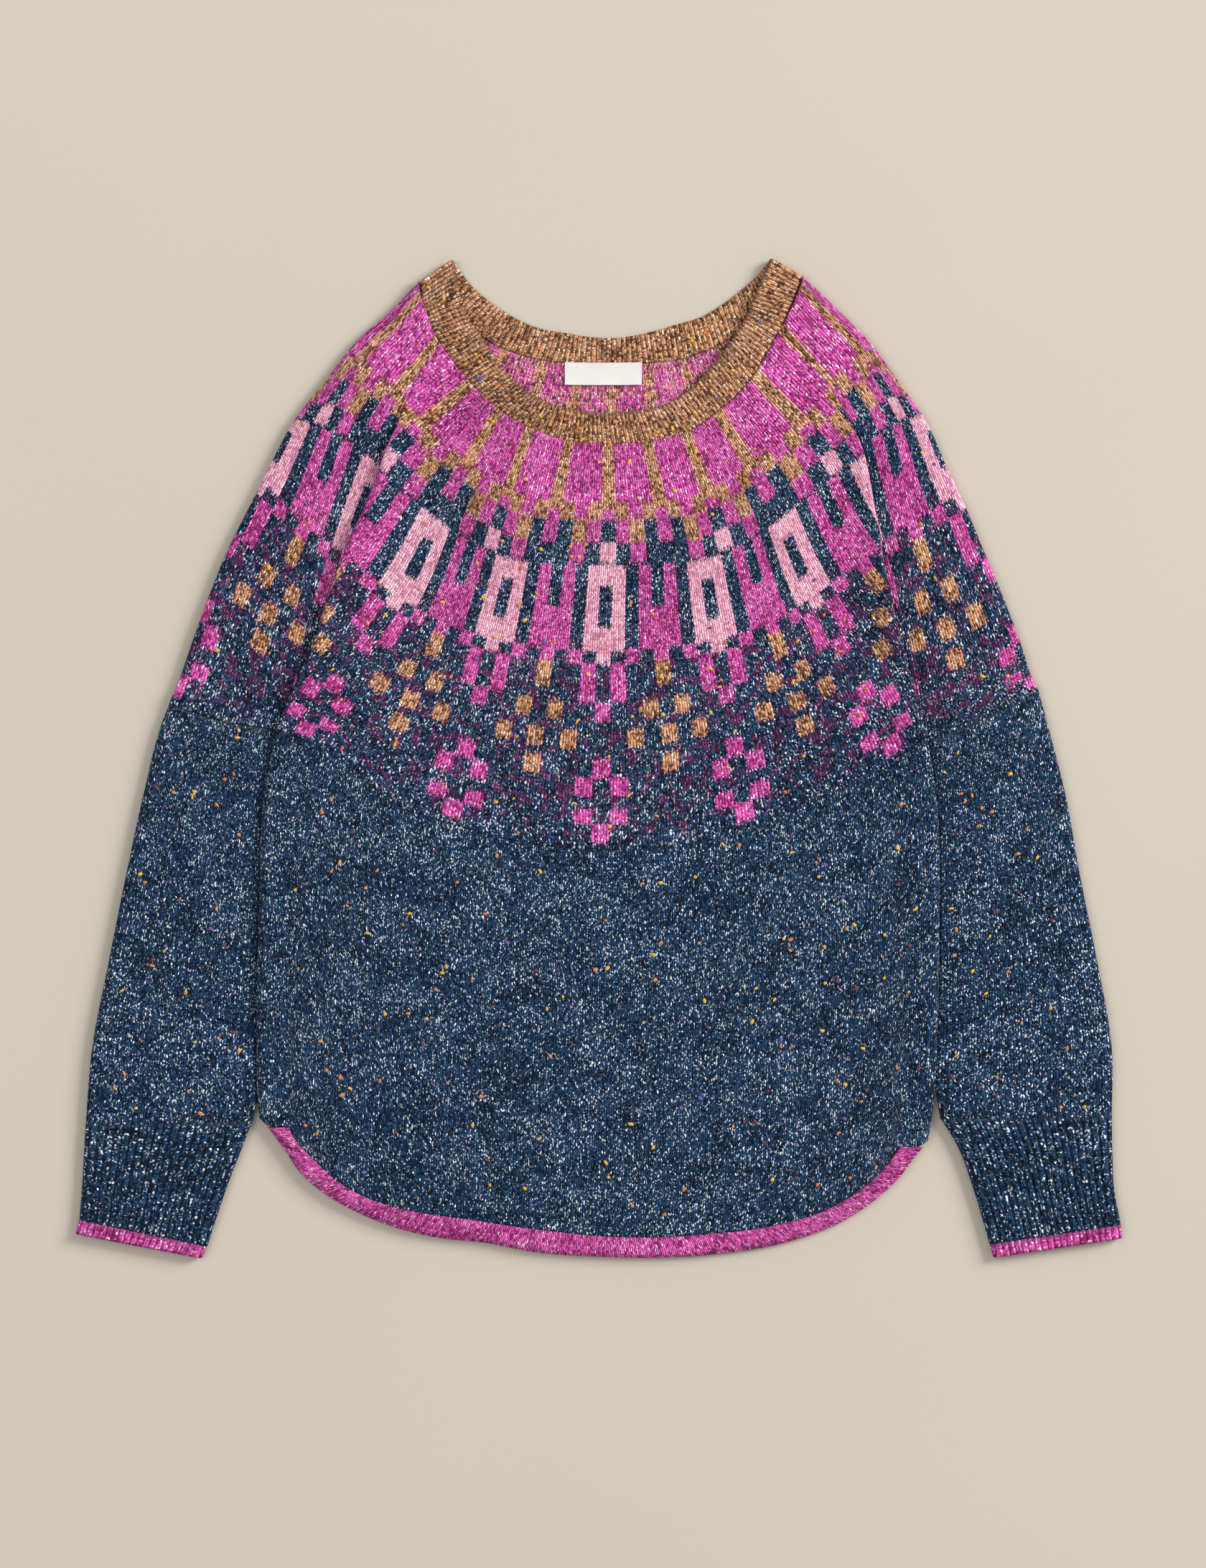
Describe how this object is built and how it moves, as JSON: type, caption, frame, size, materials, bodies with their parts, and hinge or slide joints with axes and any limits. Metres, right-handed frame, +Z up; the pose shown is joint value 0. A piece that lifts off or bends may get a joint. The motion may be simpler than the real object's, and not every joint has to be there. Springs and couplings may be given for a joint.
{
  "type": "fair isle jumper",
  "caption": "Round-yoke knitted jumper laid flat, with a patterned yoke, ribbed neckband and cuffs, long sleeves and a curved hem with a contrast edge.",
  "frame": {"origin": "middle of the laid-out jumper's outline, on the surface that it lies on", "axes": "+X towards the sleeve on the right as seen from above, +Y towards the neck, +Z up from the surface"},
  "size_m": [0.728, 0.695, 0.0105],
  "materials": {
    "yoke_knit": "stranded colour knit in flecked wool, matt and slightly hairy",
    "navy_knit": "plain knit in flecked blue-navy wool with coloured neps",
    "navy_rib": "single rib in flecked blue-navy wool",
    "pink_knit": "plain knit edge in flecked pink wool",
    "tan_rib": "single rib in flecked tan wool",
    "label_tape": "smooth woven tape, blank"
  },
  "bodies": {
    "root": {"yoke_back": "yoke_knit", "yoke_front": "yoke_knit", "body_back": "navy_knit", "body_front": "navy_knit", "sleeve_left": "navy_knit", "sleeve_right": "navy_knit", "cuff_left": "navy_rib", "cuff_right": "navy_rib", "cuff_tip_left": "pink_knit", "cuff_tip_right": "pink_knit", "hem_tip_back": "pink_knit", "hem_tip_front": "pink_knit", "neckband": "tan_rib", "label": "label_tape"}
  },
  "joints": []
}
